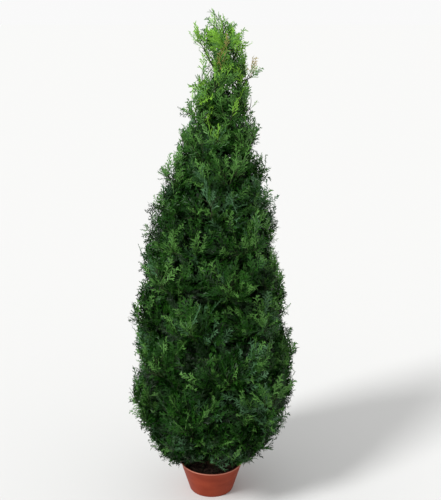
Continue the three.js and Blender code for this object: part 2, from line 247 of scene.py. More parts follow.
# Prongs of a sprig
SHAPE_SEED = 3
SPRIG_KINDS = 16
SPRIG_BOW = 0.25
AXIS_RADII = (0.0012, 0.0008)
AXIS_SIDES = 3
AXIS_STEPS = 2
PRONG_PAIRS = 4
PRONG_LENGTH = 0.020
PRONG_WIDTH = 0.0029
PRONG_FOLD = 0.0006
PRONG_SHOULDERS = (0.22, 0.8)  # along a prong, between which it keeps its width
KITE_MIDDLE = 0.55  # along a kite, where it is widest
PRONG_FIRST = 0.14  # along the sprig
PRONG_STRETCH = 0.8
PRONG_JITTER = 0.3
PRONG_ANGLE = (0.5, 0.8)
PRONG_OPENING = 1.1
PRONG_CLOSING = 0.35  # how much less the last prongs stand off
PRONG_ROLL = 0.6
PRONG_FULLNESS = 1.1
PRONG_SHORTENING = 0.5  # towards the sprig's end
PRONG_SIZE = (0.85, 1.15)
END_PRONG_PLACE = 0.96
FORK_SHARE = 0.9  # how many of the prongs fork
FORK_LENGTH = 0.0115
FORK_PLACE = (0.35, 0.6)  # along the prong it leaves
FORK_ANGLE = (0.5, 0.9)
FORK_TILT = 0.35
FORK_SIZE = (0.75, 1.25)
INNER_DEPTH = 0.055  # under the crown's outside, where sprigs are the broad kind
INNER_PRONG_PAIRS = 5
INNER_PRONG_LENGTH = 0.032
INNER_PRONG_WIDTH = 0.0075
MOST_TRIANGLES = 190000  # in one piece

ZONES = ("low", "middle", "high")

# Foliage tones, from the shaded inside to the brightest tips. Shade, dark, green and bright are dealt
# by painted light and shade, with random tone mixed in
TONES = {
    "shade": (9, 35, 4),
    "dark": (19, 58, 9),
    "green": (35, 79, 18),
    "bright": (80, 126, 56),
    # Painted sheen: a pale, greyish green standing in for the gloss's reflection
    "grey": (68, 106, 70),
    "yellow": (120, 172, 56),
    "golden": (166, 150, 90),
}
FOLIAGE_GLOSS = (0.38, 0.2)  # roughness and specular

# How light a sprig is, and below which lightness it takes each of the darker tones.
# This lightness is painted light and shade, with random tone by puff and by sprig
LIGHT_MIDDLE = 0.31
# Painted shade: a sprig is darker the deeper it lies under the crown's outside
LIGHT_LOSS = 9  # per metre under the crown's outside
LIGHT_LOSS_DEPTH = 0.08
# Painted light from above on sprigs that turn up
LIGHT_UPTURN = 0.3
LIGHT_MOOD = 0.06
# Lighter towards the top: partly painted light from above, partly the top's own paler green
LIGHT_TOP = 0.75
LIGHT_TOP_START = 0.62  # of the tree's height
LIGHT_NOISE = 0.3
TONE_STEPS = {"shade": 0.0, "dark": 0.28, "green": 0.55}
# Which sprigs take the painted sheen: some of a puff in a mood for it, below the top, out of the painted
# shade
SHEEN_MOOD = 0.9
SHEEN_SHARE = 0.4
SHEEN_TOP = 0.8  # of the tree's height
SHEEN_LIGHT = 0.1
# Yellow sprigs at the top's outside: partly painted light through the thin top, partly the top's own yellower
# green
YELLOW_WHIM = 0.4  # the least whim for it at the top
YELLOW_FALL = 4  # how fast yellow gets rarer further down
YELLOW_FULL = 0.92
YELLOW_DEPTH = 0.04
GOLDEN_WHIM = 0.92
GOLDEN_START = 0.9
GOLDEN_DEPTH = 0.012

# Other finishes
TWIG_COLOR = (40, 50, 24)
TWIG_GLOSS = (0.7, 0.2)
# A painted highlight along the rim's rounded top
RIM_HIGHLIGHT_COLOR = (196, 120, 98)
RIM_GLOSS = (0.4, 0.4)
FLOOR_COLOR = (203, 203, 202)
FLOOR_GLOSS = (0.95, 0.0)
MOTTLE_SPECULAR = 0.15
PATCH_DETAIL = 6
PATCH_EDGES = (0.35, 0.65)
GRAIN_DETAIL = 4
GRAIN_HEIGHT = 0.001
BARK_LOOK = {
    "dark": (46, 34, 24), "light": (96, 74, 52), "roughness": 0.85,
    "patches": 60, "stretch": (1.0, 1.0, 0.15), "grain": 300, "relief": 0.5,
}
POT_LOOK = {
    "dark": (126, 46, 25), "light": (140, 56, 33), "roughness": 0.5,
    "patches": 14, "stretch": (1.0, 1.0, 2.5), "grain": 420, "relief": 0.12,
}
PEAT_LOOK = {
    "dark": (44, 32, 28), "light": (88, 70, 60), "roughness": 0.95,
    "patches": 160, "stretch": (1.0, 1.0, 1.0), "grain": 500, "relief": 0.8,
}

# Floor, light and camera
FLOOR_REACH = 150.0
SKY_STRENGTH = 0.95
SUN_STRENGTH = 2.9
SUN_WIDTH = math.radians(14)
SUN_TILT = math.radians(46)
SUN_TURN = math.radians(-52)
CAMERA_LENS = 59.5  # in millimetres, as is its sensor's width
CAMERA_SENSOR = 36
CAMERA_SHIFT = 0.018
CAMERA_PLACE = (0.0, -2.43, 1.5)
CAMERA_TILT = math.radians(90 - 15.8)


# The same numbers from 0 to 1 each time, for one seed, as the solids use
def seeded_random(seed):
    mask = 0xFFFFFFFF
    state = seed & mask

    def draw():
        nonlocal state
        state = (state + 0x6D2B79F5) & mask
        mixed = ((state ^ (state >> 15)) * (state | 1)) & mask
        mixed ^= (mixed + ((mixed ^ (mixed >> 7)) * (mixed | 61))) & mask
        return ((mixed ^ (mixed >> 14)) & mask) / 4294967296

    return draw


def unit(vectors):
    return vectors / np.linalg.norm(vectors, axis=-1, keepdims=True)


# The plant's form


# How far the trunk's middle line stands off to +X at a level
def lean(level):
    share = np.clip((level - BEND_START) / (TREE_HEIGHT - BEND_START), 0, 1)
    return BEND * np.sin(np.pi * share**BEND_SKEW)


def lean_slope(level):
    return (lean(level + SLOPE_STEP) - lean(level - SLOPE_STEP)) / (2 * SLOPE_STEP)


def trunk_radius(level):
    share = np.clip((level - FILL_LEVEL) / (TRUNK_TOP - FILL_LEVEL), 0, 1)
    flare = TRUNK_FLARE * np.clip(1 - (level - FILL_LEVEL) / TRUNK_FLARE_HEIGHT, 0, None) ** 2
    return TRUNK_FOOT_RADIUS + (TRUNK_TIP_RADIUS - TRUNK_FOOT_RADIUS) * share + flare


# How far the crown's outside is from the trunk's middle line at a level, towards an azimuth
def crown_radius(level, azimuth):
    below = np.clip((WIDEST_LEVEL - level) / (WIDEST_LEVEL - CROWN_FOOT_LEVEL), 0, 1)
    above = np.clip((level - WIDEST_LEVEL) / (TREE_HEIGHT - WIDEST_LEVEL), 0, 1)
    foot = CROWN_RADIUS - (CROWN_RADIUS - CROWN_FOOT_RADIUS) * below**CROWN_FOOT_POWER
    cone = CROWN_RADIUS * (1 - above**CROWN_TAPER_POWER)
    sway = np.cos(FULL_TURN * (level - CROWN_SWAY_LEVEL) / CROWN_SWAY_PITCH)
    middle = cone - CROWN_SWAY * sway * (1 - above) * np.cos(azimuth)
    tuft = np.clip((level - TUFT_LEVEL) / (TREE_HEIGHT - TUFT_LEVEL), 0, 1)
    notch = np.exp(-(((level - NOTCH_LEVEL) / NOTCH_HEIGHT) ** 2)) * np.maximum(0, -np.cos(azimuth))
    top = np.maximum(cone, TUFT_RADIUS * (1 - tuft**TUFT_POWER)) - NOTCH_DEPTH * notch
    return np.where(level < WIDEST_LEVEL, foot, np.where(level < TUFT_LEVEL, middle, top))


# How far foliage may stand out past the crown's outside at a level
def edge_room(level):
    return EDGE_ROOM + CROWN_RADIUS - float(crown_radius(level, math.pi / 2))


def tier_level(tier):
    return TIER_FIRST + (TIER_LAST - TIER_FIRST) * (tier / TIER_COUNT) ** TIER_CLOSING


def rise_at(level):
    return RISE_LOW + (RISE_HIGH - RISE_LOW) * level / TREE_HEIGHT


# The lowest that foliage comes, towards an azimuth: higher in front, and lower where it hangs off the rim
def foot_level(radius, azimuth):
    hang = np.where(np.abs(radius - POT_RIM_RADIUS) > RIM_CLEAR, RIM_HANG, 0)
    return CROWN_FOOT_LEVEL - hang + FRONT_LIFT * np.clip(-np.sin(azimuth), 0, 1) ** 2


def tier_floor(tier, radius):
    if tier == 0:
        return np.full_like(radius, CROWN_FOOT_LEVEL)
    level = tier_level(tier)
    return level + rise_at(level) * radius


# Where a branch that starts at a level and keeps its rise meets the crown's outside
def crown_reach(level, azimuth):
    radius = 0.0
    for _ in range(REACH_ROUNDS):
        radius = float(crown_radius(level + rise_at(level) * radius, azimuth))
    return radius


def branch_count(tier):
    around = FULL_TURN * crown_reach(tier_level(tier), math.pi / 2)
    return max(FEWEST_BRANCHES, math.floor(around / BRANCH_SPACING + 0.5))


# How far points lie inside the crown's outside, measured level; less than 0 outside it
def crown_depth(points):
    x = points[..., 0] - lean(points[..., 2])
    heading = np.arctan2(points[..., 1], x)
    depth = crown_radius(points[..., 2], heading) - np.hypot(x, points[..., 1])
    return np.minimum(depth, TREE_HEIGHT - points[..., 2])


# Which points lie in the space of a branch, (tier, azimuth, branches in the tier), or near it by a slack
def within(points, cell, slack):
    tier, azimuth, count = cell
    level = points[..., 2]
    x = points[..., 0] - lean(level)
    radius = np.hypot(x, points[..., 1])
    heading = np.arctan2(points[..., 1], x)
    inside = (radius > trunk_radius(level) + TRUNK_CLEAR) | (level > TRUNK_TOP)
    inside &= level > (foot_level(radius, heading) if tier == 0 else tier_floor(tier, radius) - slack)
    if count == 1:
        return inside
    inside &= level < tier_floor(tier + 1, radius) + slack
    turn = np.abs(np.arctan2(np.sin(heading - azimuth), np.cos(heading - azimuth)))
    spare = np.clip(turn - math.pi / count, 0, math.pi / 2)
    return inside & (radius * np.sin(spare) <= slack)


# How far one can go from a place in a direction and stay in a branch's space and in a puff that stands out
def way_out(place, heading, cell, stand):
    distances = np.arange(0, TEST_REACH, TEST_STEP)
    places = place + distances[:, None] * heading
    inside = within(places, cell, TWIG_SLACK) & (crown_depth(places) > -stand)
    return 0.0 if not inside[0] else distances[np.argmin(inside)] - TEST_STEP


# How far up a level is in the feathery top, as a share
def top_share(level):
    return min(1, max(0, (level - TOP_LEVEL) / (TREE_HEIGHT - TOP_LEVEL)))


# How much further apart sprigs leave a twig at a level
def thinning(level):
    return 1 + TOP_THINNING * top_share(level)


# Curves, each drawn by three controls


def curve_point(controls, share):
    a, b, c = controls
    share = np.asarray(share)[..., None]
    return (1 - share) ** 2 * a + 2 * share * (1 - share) * b + share**2 * c


def curve_heading(controls, share):
    a, b, c = controls
    return unit((1 - share) * (b - a) + share * (c - b))


# Two directions square to a heading and to each other
def square_to(heading):
    steep = abs(heading[2]) >= STEEP_HEADING
    spare = np.array([1.0, 0.0, 0.0]) if steep else np.array([0.0, 0.0, 1.0])
    first = unit(np.cross(heading, spare))
    return first, np.cross(heading, first)


# A heading turned away from another one by an angle, at a roll about it
def turned_from(heading, angle, roll):
    first, second = square_to(heading)
    aside = math.cos(roll) * first + math.sin(roll) * second
    return math.cos(angle) * heading + math.sin(angle) * aside


# Branches, twigs and sprigs


# A branch's stem: level where it leaves the trunk, then swept up
def branch_stem(draw, tier, azimuth):
    level = tier_level(tier + STEM_SEAT)
    outward = np.array([math.cos(azimuth), math.sin(azimuth), 0.0])
    centre = np.array([float(lean(level)), 0.0, level])
    run = crown_reach(level, azimuth) * (STEM_REACH + STEM_REACH_SPREAD * draw())
    thick = min(STEM_RADIUS, STEM_THICKEST * float(trunk_radius(level)))
    base = centre + outward * (float(trunk_radius(level)) + SEAT_GAP + thick * abs(float(lean_slope(level))))
    tip = centre + outward * run + np.array([0.0, 0.0, rise_at(level) * run])
    tip[0] += float(lean(tip[2]) - lean(level))
    return np.array([base, base + outward * STEM_LEVEL_RUN * run, tip])


# The leader's stem: it carries the trunk's line on to just short of the tree's top
def leader_stem():
    upward = unit(np.array([float(lean_slope(TRUNK_TOP)), 0.0, 1.0]))
    base = np.array([float(lean(TRUNK_TOP)), 0.0, TRUNK_TOP]) + upward * SEAT_GAP
    elbow = base + upward * LEADER_ELBOW * (TREE_HEIGHT - TRUNK_TOP)
    top = np.array([float(lean(TREE_HEIGHT)), 0.0, TREE_HEIGHT])
    return np.array([base, elbow, 0.5 * (top + elbow)])


# Every branch: its node's name, tier, stem and space
def all_branches():
    for tier in range(TIER_COUNT):
        count = branch_count(tier)
        for i in range(count):
            azimuth = FULL_TURN * (i + TIER_START + TIER_STAGGER * (tier % 2)) / count
            stem = branch_stem(seeded_random(SEEDS_PER_TIER * (tier + 1) + i), tier, azimuth)
            yield f"branch_tier{tier + 1}_{i + 1}", tier, stem, (tier, azimuth, count)
    yield "leader", TIER_COUNT - 1, leader_stem(), (TIER_COUNT, 0.0, 1)


# Points spread at random over the crown's outside in a branch's space, and the area they stand for
def outside_points(rng, cell):
    tier, azimuth, count = cell
    half = math.pi / count
    angles = azimuth + rng.uniform(-half, half, OUTSIDE_TRIES)
    levels = rng.uniform(CROWN_FOOT_LEVEL, TREE_HEIGHT, OUTSIDE_TRIES)
    radii = crown_radius(levels, angles)
    kept = (levels > tier_floor(tier, radii)) & (rng.uniform(0, CROWN_RADIUS, OUTSIDE_TRIES) < radii)
    if count > 1:
        kept &= levels < tier_floor(tier + 1, radii)
    area = 2 * half * CROWN_RADIUS * (TREE_HEIGHT - CROWN_FOOT_LEVEL) * kept.mean()
    points = np.stack([lean(levels) + radii * np.cos(angles), radii * np.sin(angles), levels], axis=1)
    return points[kept], area


# Places for the puffs under a lowest branch
def underside_points(rng, cell):
    azimuth, half = cell[1], math.pi / cell[2]
    angles = azimuth + half * (2 * (np.arange(UNDER_PUFFS) + rng.random(UNDER_PUFFS)) / UNDER_PUFFS - 1)
    radii = CROWN_FOOT_RADIUS * rng.uniform(*UNDER_REACH, UNDER_PUFFS)
    levels = np.full(UNDER_PUFFS, CROWN_FOOT_LEVEL)
    return np.stack([radii * np.cos(angles), radii * np.sin(angles), levels], axis=1)


# The centres of a count of even groups of points
def spread_apart(points, count):
    centres = points[:count]
    for _ in range(SPREAD_ROUNDS):
        nearest = np.argmin(np.linalg.norm(points[:, None] - centres, axis=2), axis=1)
        groups = [points[nearest == k] for k in range(len(centres))]
        centres = np.array([group.mean(axis=0) for group in groups if len(group)])
    return centres


# A puff's twig: it leaves the branch where it can lean towards its place on the crown's outside
def puff_twig(stem, target):
    shares = np.linspace(TWIG_FIRST, 1, TWIG_PLACES)
    roots = curve_point(stem, shares)
    headings = np.array([curve_heading(stem, share) for share in shares])
    ways = target - roots
    lengths = np.linalg.norm(ways, axis=1)
    angles = np.arccos(np.clip((ways * headings).sum(axis=1) / lengths, -1, 1))
    best = np.argmin(np.abs(angles - PUFF_ANGLE) + lengths / PUFF_REACH)
    heading = ways[best] / lengths[best]
    length = max(TWIG_SHORTEST, lengths[best] - TWIG_SPARE * SPRIG_LENGTH)
    elbow = roots[best] + (headings[best] + heading) * TWIG_ELBOW * length
    return np.array([roots[best], elbow, roots[best] + heading * length])


# A side twig of a puff's twig, or None where no try of it fits
def side_twig(rng, twig, cell, stand, share, roll):
    for attempt in range(TRIES):
        along = np.clip(share + rng.uniform(-SIDE_JITTER, SIDE_JITTER), SIDE_JITTER, 1)
        root = curve_point(twig, along)
        forward = curve_heading(twig, along)
        angle = rng.uniform(*SIDE_ANGLE) * (1 - SIDE_CLOSING * attempt / TRIES)
        heading = turned_from(forward, angle, roll + rng.uniform(-SIDE_ROLL, SIDE_ROLL))
        way = min(SIDE_REACH, way_out(root, heading, cell, stand)) * rng.uniform(*SIDE_REACH_SHARE)
        if way > SIDE_ROOM * SPRIG_LENGTH:
            end = root + heading * max(SIDE_SHORTEST, way - TWIG_SPARE * SPRIG_LENGTH)
            start = SIDE_ONWARD * forward + (1 - SIDE_ONWARD) * heading
            return np.array([root, root + start * SIDE_ELBOW * np.linalg.norm(end - root), end])
    return None


# How far a puff stands out past the crown's outside; where less than 0, it stays behind it
def puff_stand(rng, level, leads):
    return min(rng.uniform(*(LEAD_STAND if leads else PUFF_STAND)), edge_room(level))


# The puffs of one branch, each as how far it stands out and its twigs, the one from the stem first
def grow_puffs(rng, stem, cell):
    points, area = outside_points(rng, cell)
    targets = spread_apart(points, max(PUFF_FEWEST, round(area / PUFF_PATCH)))
    lead = np.argmin(np.linalg.norm(targets - stem[2], axis=1))
    if cell[0] == 0:
        targets = np.concatenate([targets, underside_points(rng, cell)])
    puffs = []
    for number, target in enumerate(targets):
        stand = puff_stand(rng, target[2], number == lead)
        middle = np.array([float(lean(target[2])), 0.0, 0.0])
        outward = unit(target * np.array([1.0, 1.0, 0.0]) - middle)
        first = puff_twig(stem, target + stand * outward)
        count = round(SIDE_TWIGS + (TOP_SIDE_TWIGS - SIDE_TWIGS) * top_share(target[2]))
        shares = SIDE_FIRST + SIDE_STRETCH * (np.arange(count) + rng.random(count)) / count
        sides = [side_twig(rng, first, cell, stand, share, GOLDEN_TURN * k) for k, share in enumerate(shares)]
        puffs.append((stand, [first] + [side for side in sides if side is not None]))
    return puffs


# How far under the crown's outside a place has to lie, by how far it is from the middle line of its puff
def crease_depth(place, first, recess):
    forward = unit(first[2] - first[0])
    off = place - first[0]
    away = np.linalg.norm(off - forward * (off @ forward))
    return recess + PUFF_CREASE * min(1, away / PUFF_RADIUS) ** 2


# Whether a sprig's tip lies in its puff, in the solids' box and in its branch's space
def tip_fits(tip, cell, first, recess, slack):
    deep = crown_depth(tip) > crease_depth(tip, first, recess) - slack
    boxed = np.all(tip > CAD_LOW - BOX_SPARE) and np.all(tip < CAD_HIGH + BOX_SPARE)
    return deep and boxed and within(tip, cell, CELL_SLACK)


# The sprigs of one twig, as rows of (root, heading, length): one goes on ahead, the others leave by turns
def grow_sprigs(rng, twig, cell, first, recess, spacing):
    count = max(SPRIG_FEWEST, round(np.linalg.norm(twig[2] - twig[0]) / spacing))
    sprigs = []
    for k in range(count + 1):
        ahead = k == count
        share = 1.0 if ahead else SPRIG_FIRST + (1 - SPRIG_FIRST) * (k + rng.uniform(*SPRIG_JITTER)) / count
        root = curve_point(twig, share)
        forward = curve_heading(twig, share)
        angle = END_ANGLE if ahead else rng.uniform(*SPRIG_ANGLE)
        heading = turned_from(forward, angle, GOLDEN_TURN * k + rng.uniform(-SPRIG_ROLL, SPRIG_ROLL))
        heading = unit(heading + np.array([0.0, 0.0, SPRIG_LIFT]))
        size = SPRIG_LENGTH * rng.uniform(*SPRIG_SIZE)
        poke = min(EDGE_POKE, edge_room(root[2])) if ahead else 0
        slack = EDGE_SLACK + poke * rng.random() ** POKE_RARITY
        slack += TOP_POKE * top_share(root[2]) * rng.random()
        for _ in range(END_TRIES if ahead else SPRIG_TRIES):
            tip = root + heading * (size + 0.5 * FORK_LENGTH)
            if tip_fits(tip, cell, first, recess, slack):
                sprigs.append((root, heading, size))
                break
            size *= SPRIG_SHRINK
    return sprigs


# Meshes from arrays


def mesh_object(name, points, triangles, material, smooth=True):
    mesh = bpy.data.meshes.new(name)
    mesh.vertices.add(len(points))
    mesh.vertices.foreach_set("co", np.asarray(points, np.float32).ravel())
    mesh.loops.add(3 * len(triangles))
    mesh.loops.foreach_set("vertex_index", np.asarray(triangles, np.int32).ravel())
    mesh.polygons.add(len(triangles))
    mesh.polygons.foreach_set("loop_start", np.arange(0, 3 * len(triangles), 3, dtype=np.int32))
    mesh.polygons.foreach_set("use_smooth", np.full(len(triangles), smooth))
    mesh.update(calc_edges=True)
    mesh.validate()
    mesh.materials.append(material)
    piece = bpy.data.objects.new(name, mesh)
    bpy.context.scene.collection.objects.link(piece)
    return piece


def finish_piece(piece, nodes):
    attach(piece, "root")
    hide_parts(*nodes)


# Several (points, triangles) as one
def joined(parts):
    starts = np.cumsum([0] + [len(points) for points, _ in parts[:-1]])
    points = np.concatenate([points for points, _ in parts])
    triangles = np.concatenate([triangles + start for (_, triangles), start in zip(parts, starts)])
    return points, triangles


# A tube through rings of equal corner counts, given as (rings, corners, 3), closed at its far end or open
def tube(rings, closed=True):
    steps, sides = rings.shape[:2]
    corner = np.arange(steps * sides).reshape(steps, sides)
    beside = np.roll(corner, -1, axis=1)
    low = np.stack([corner[:-1], beside[:-1], beside[1:]], axis=-1).reshape(-1, 3)
    high = np.stack([corner[:-1], beside[1:], corner[1:]], axis=-1).reshape(-1, 3)
    walls = np.concatenate([low, high])
    if not closed:
        return rings.reshape(-1, 3), walls
    last = corner[-1]
    cap = np.stack([np.full(sides - 2, last[0]), last[1:-1], last[2:]], axis=-1)
    return rings.reshape(-1, 3), np.concatenate([walls, cap])


# The angles of corners spaced evenly round a ring
def round_angles(sides):
    return FULL_TURN * np.arange(sides) / sides


# A tapering round limb along a curve
def limb(controls, root_radius, tip_radius, sides, steps):
    shares = np.linspace(0, 1, steps + 1)
    turn = round_angles(sides)
    rings = []
    for share in shares:
        first, second = square_to(curve_heading(controls, share))
        radius = root_radius + (tip_radius - root_radius) * share
        around = np.cos(turn)[:, None] * first + np.sin(turn)[:, None] * second
        rings.append(curve_point(controls, share) + radius * around)
    return tube(np.array(rings))


# A surface turned about Z from (radius, height) rows
def turned(profile, sides, closed=True):
    turn = round_angles(sides)
    profile = np.array(profile)
    rings = np.stack([
        profile[:, :1] * np.cos(turn),
        profile[:, :1] * np.sin(turn),
        np.broadcast_to(profile[:, 1:], (len(profile), sides)),
    ], axis=-1)
    return tube(rings, closed)


# Equal outlines, given as (outlines, corners, 3), each with the same faces
def repeated(points, faces):
    triangles = np.array(faces) + points.shape[1] * np.arange(len(points))[:, None, None]
    return points.reshape(-1, 3), triangles.reshape(-1, 3)


# Long prongs: each is a strip with a point at both ends, folded along its middle
def prongs(roots, headings, normals, lengths, widths):
    aside = np.cross(headings, normals) * widths[:, None] / 2
    fold = normals * PRONG_FOLD
    low, high = (roots + headings * (share * lengths)[:, None] - fold for share in PRONG_SHOULDERS)
    tips = roots + headings * lengths[:, None]
    points = np.stack([roots, low - aside, high - aside, tips, high + aside, low + aside], axis=1)
    return repeated(points, [[0, 3, 2], [0, 2, 1], [0, 4, 3], [0, 5, 4]])


# Plainer prongs: each is a kite folded along its middle
def kites(roots, headings, normals, lengths, widths):
    aside = np.cross(headings, normals) * widths[:, None] / 2
    middles = roots + headings * (KITE_MIDDLE * lengths)[:, None] - normals * PRONG_FOLD
    tips = roots + headings * lengths[:, None]
    points = np.stack([roots, middles - aside, tips, middles + aside], axis=1)
    return repeated(points, [[0, 2, 1], [0, 3, 2]])


# Prongs that leave an axis to both sides by turns, as (roots, headings, normals, lengths)
def side_prongs(rng, along, bow, longest):
    count = len(along)
    side = np.where(np.arange(count) % 2 == 0, 1.0, -1.0)
    roots = np.stack([np.zeros(count), along, 0.5 * bow * along**2], axis=1) * SPRIG_LENGTH
    angle = rng.uniform(*PRONG_ANGLE, count) * (PRONG_OPENING - PRONG_CLOSING * along)
    roll = rng.normal(0, PRONG_ROLL, count)
    aside = side * np.sin(angle) * np.cos(roll)
    headings = np.stack([aside, np.cos(angle), np.sin(angle) * np.sin(roll)], axis=1)
    normals = unit(np.cross(np.cross(headings, [0.0, 0.0, 1.0]), headings))
    lengths = longest * (PRONG_FULLNESS - PRONG_SHORTENING * along) * rng.uniform(*PRONG_SIZE, count)
    return roots, headings, normals, lengths


# Smaller prongs that fork from others, to a side by turns
def fork_prongs(rng, roots, headings, normals, lengths):
    count = len(roots)
    forks = roots + headings * (lengths * rng.uniform(*FORK_PLACE, count))[:, None]
    angle = np.where(np.arange(count) % 2 == 0, 1, -1) * rng.uniform(*FORK_ANGLE, count)
    aside = np.cross(headings, normals)
    turned_headings = headings * np.cos(angle)[:, None] + aside * np.sin(angle)[:, None]
    turned_headings += normals * rng.uniform(-FORK_TILT, FORK_TILT, count)[:, None]
    return forks, unit(turned_headings), normals, FORK_LENGTH * rng.uniform(*FORK_SIZE, count)


# The prongs along a sprig that lies along +Y with its flat face up, the one at its end, and its axis
def sprig_frame(rng, pairs, prong_length):
    count = 2 * pairs
    bow = rng.uniform(-SPRIG_BOW, SPRIG_BOW)
    steps = np.arange(count) + rng.uniform(-PRONG_JITTER, PRONG_JITTER, count)
    main = side_prongs(rng, PRONG_FIRST + PRONG_STRETCH * steps / (count - 1), bow, prong_length)
    end = np.array([0.0, 1.0, 0.5 * bow]) * SPRIG_LENGTH
    onward = unit(np.array([[0.0, 1.0, bow]]))
    last = (END_PRONG_PLACE * end[None], onward, np.array([[0.0, 0.0, 1.0]]), np.array([FORK_LENGTH]))
    line = np.array([np.zeros(3), [0.0, 0.5 * SPRIG_LENGTH, 0.0], end])
    return main, last, limb(line, *AXIS_RADII, AXIS_SIDES, AXIS_STEPS)


# A sprig of the crown's outside: smaller prongs fork from most of its prongs
def outer_sprig(rng):
    main, last, axis = sprig_frame(rng, PRONG_PAIRS, PRONG_LENGTH)
    forked = np.flatnonzero(rng.random(len(main[0])) < FORK_SHARE)
    forks = fork_prongs(rng, *(column[forked] for column in main))
    large = [np.concatenate(columns) for columns in zip(main, last)]
    leaves = prongs(*large, np.full(len(large[0]), PRONG_WIDTH))
    return joined([leaves, kites(*forks, np.full(len(forked), PRONG_WIDTH)), axis])


# A plainer, broader sprig of the crown's inside
def inner_sprig(rng):
    main, last, axis = sprig_frame(rng, INNER_PRONG_PAIRS, INNER_PRONG_LENGTH)
    broad = [np.concatenate(columns) for columns in zip(main, last)]
    return joined([kites(*broad, np.full(len(broad[0]), INNER_PRONG_WIDTH)), axis])


# A sprig kind set in place: +Y to its heading, scaled, rolled about its axis
def placed(kind, root, heading, size, roll):
    points, triangles = kind
    first, second = square_to(heading)
    across = math.cos(roll) * first + math.sin(roll) * second
    axes = np.stack([across, heading, np.cross(across, heading)])
    return root + (size / SPRIG_LENGTH) * points @ axes, triangles


# Finishes


# A colour of 0 to 255 as shares of linear light, by the standard curve of screens
def linear(red, green, blue):
    values = np.array([red, green, blue]) / 255
    return (*np.where(values <= 0.04045, values / 12.92, ((values + 0.055) / 1.055) ** 2.4).tolist(), 1.0)


def plain_finish(name, color, roughness, specular):
    material = bpy.data.materials.new(name)
    material.use_nodes = True
    shader = material.node_tree.nodes["Principled BSDF"]
    shader.inputs["Base Color"].default_value = linear(*color)
    shader.inputs["Roughness"].default_value = roughness
    shader.inputs["Specular IOR Level"].default_value = specular
    return material


# A finish whose colour runs between a dark and a light one by patches, with a fine grain in relief
def mottled_finish(name, dark, light, roughness, patches, stretch, grain, relief):
    material = plain_finish(name, light, roughness, MOTTLE_SPECULAR)
    nodes = material.node_tree.nodes
    links = material.node_tree.links
    shader = nodes["Principled BSDF"]
    place = nodes.new("ShaderNodeTexCoord")
    mapping = nodes.new("ShaderNodeMapping")
    mapping.inputs["Scale"].default_value = stretch
    links.new(place.outputs["Object"], mapping.inputs["Vector"])
    patch_noise = nodes.new("ShaderNodeTexNoise")
    patch_noise.inputs["Scale"].default_value = patches
    patch_noise.inputs["Detail"].default_value = PATCH_DETAIL
    links.new(mapping.outputs["Vector"], patch_noise.inputs["Vector"])
    ramp = nodes.new("ShaderNodeValToRGB")
    for stop, position, color in zip(ramp.color_ramp.elements, PATCH_EDGES, (dark, light)):
        stop.position = position
        stop.color = linear(*color)
    links.new(patch_noise.outputs["Fac"], ramp.inputs["Fac"])
    links.new(ramp.outputs["Color"], shader.inputs["Base Color"])
    grain_noise = nodes.new("ShaderNodeTexNoise")
    grain_noise.inputs["Scale"].default_value = grain
    grain_noise.inputs["Detail"].default_value = GRAIN_DETAIL
    links.new(mapping.outputs["Vector"], grain_noise.inputs["Vector"])
    bump = nodes.new("ShaderNodeBump")
    bump.inputs["Strength"].default_value = relief
    bump.inputs["Distance"].default_value = GRAIN_HEIGHT
    links.new(grain_noise.outputs["Fac"], bump.inputs["Height"])
    links.new(bump.outputs["Normal"], shader.inputs["Normal"])
    return material


# Foliage


# Which tone each sprig takes: deeper ones are darker, as painted shade, and higher and upturned ones lighter,
# as painted light from above; a puff in a mood for it has sprigs of painted sheen, a pale greyish green
def deal_tones(rng, tips, headings, puff_of):
    depth = crown_depth(tips)
    height = tips[:, 2] / TREE_HEIGHT
    moods = rng.normal(0, 1, puff_of.max() + 1)[puff_of]
    whims = rng.random(len(tips))
    # painted shade under the crown's outside, and painted light on upturned and high sprigs
    light = LIGHT_MIDDLE - LIGHT_LOSS * np.clip(depth, 0, LIGHT_LOSS_DEPTH)
    light = light + LIGHT_UPTURN * headings[:, 2] + LIGHT_MOOD * moods
    top_light = LIGHT_TOP * np.clip(height - LIGHT_TOP_START, 0, None) / (1 - LIGHT_TOP_START)
    light += top_light + rng.normal(0, LIGHT_NOISE, len(tips))
    tones = np.select([light < step for step in TONE_STEPS.values()], list(TONE_STEPS), "bright")
    # painted sheen, a pale greyish green, on some sprigs of a few puffs
    grey = (moods > SHEEN_MOOD) & (whims < SHEEN_SHARE) & (height < SHEEN_TOP) & (light > SHEEN_LIGHT)
    tones[grey] = "grey"
    # yellow at the top's outside, partly painted light
    yellow = whims > YELLOW_WHIM + YELLOW_FALL * np.clip(YELLOW_FULL - height, 0, None)
    tones[yellow & (depth < YELLOW_DEPTH)] = "yellow"
    tones[(whims > GOLDEN_WHIM) & (height > GOLDEN_START) & (depth < GOLDEN_DEPTH)] = "golden"
    return tones


def zone_of(tier):
    return ZONES[min(tier * len(ZONES) // TIER_COUNT, len(ZONES) - 1)]


# Whether a sprig would touch the pot or its fill
def touches_pot(points):
    radius = np.hypot(points[:, 0], points[:, 1])
    low = points[:, 2] < POT_HEIGHT + POT_LIP
    inside = low & (radius < POT_RIM_RADIUS)
    in_wall = low & (np.abs(radius - POT_RIM_RADIUS) < 2 * POT_WALL)
    in_fill = inside & (points[:, 2] < FILL_LEVEL + POT_WALL)
    return in_wall.any() or in_fill.any() or (inside.any() and (low & ~inside).any())


def stem_wood(name, stem):
    radius = LEADER_RADIUS if name == "leader" else STEM_RADIUS
    return limb(stem, radius, STEM_TIP * radius, STEM_SIDES, STEM_STEPS)


def twig_wood(twig):
    return limb(twig, TWIG_RADIUS, TWIG_TIP * TWIG_RADIUS, TWIG_SIDES, TWIG_STEPS)


